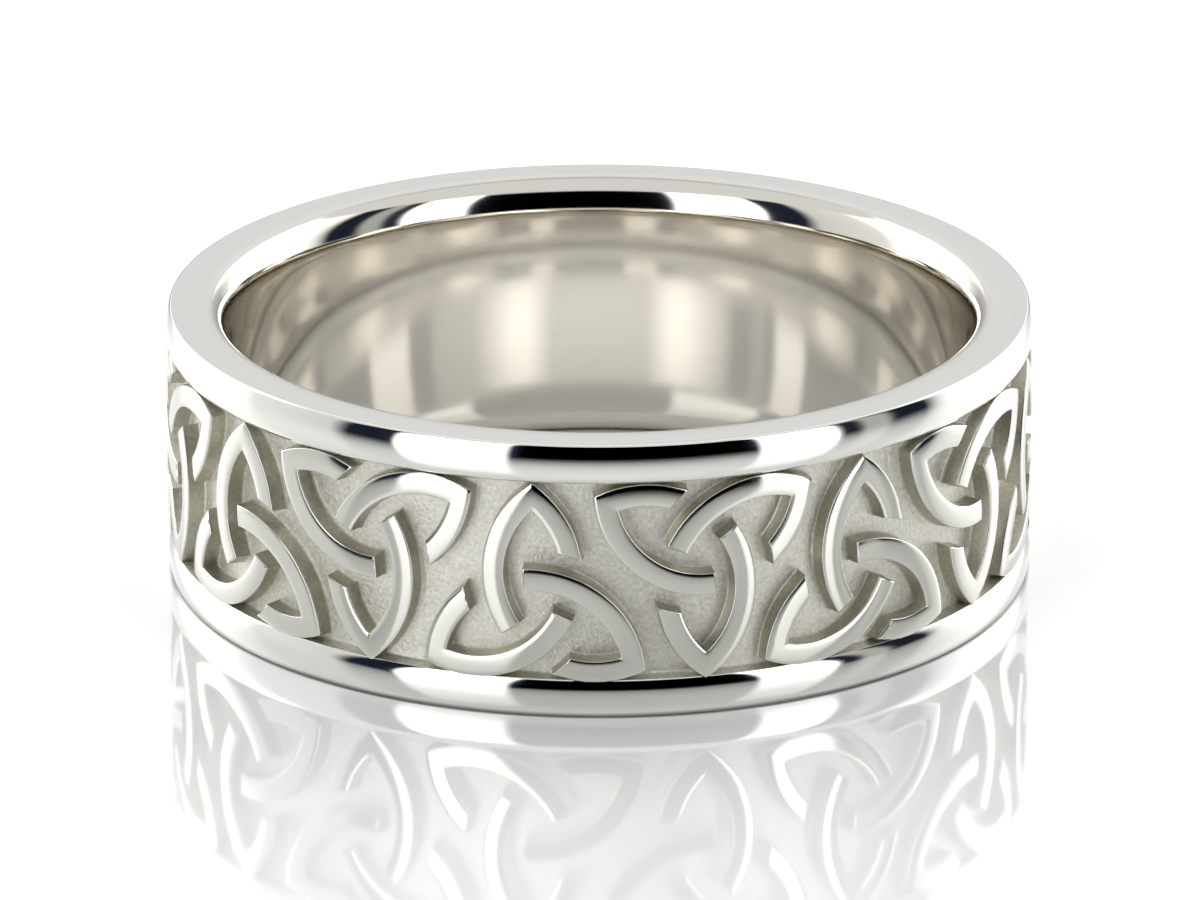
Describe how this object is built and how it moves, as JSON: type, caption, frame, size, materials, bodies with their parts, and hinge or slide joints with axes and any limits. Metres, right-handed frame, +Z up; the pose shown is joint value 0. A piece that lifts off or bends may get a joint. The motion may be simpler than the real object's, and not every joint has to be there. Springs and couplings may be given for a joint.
{
  "type": "celtic wedding band",
  "caption": "Wide white metal finger ring with domed polished rims, a comfort fit bore and a belt of raised interlaced triquetra knots, lying on its side.",
  "frame": {"origin": "middle of the lower end face, on the surface that the ring lies on", "axes": "+Z up along the axis of the bore; -Y is the front, where an upright knot stands 8.6 degrees towards -X"},
  "size_m": [0.0238, 0.0238, 0.0076],
  "materials": {
    "white_gold": "White gold: mirror-polished rims, bore and knots, satin end faces, sand-blasted sunk ground."
  },
  "bodies": {
    "root": {"band": "white_gold"}
  },
  "joints": []
}
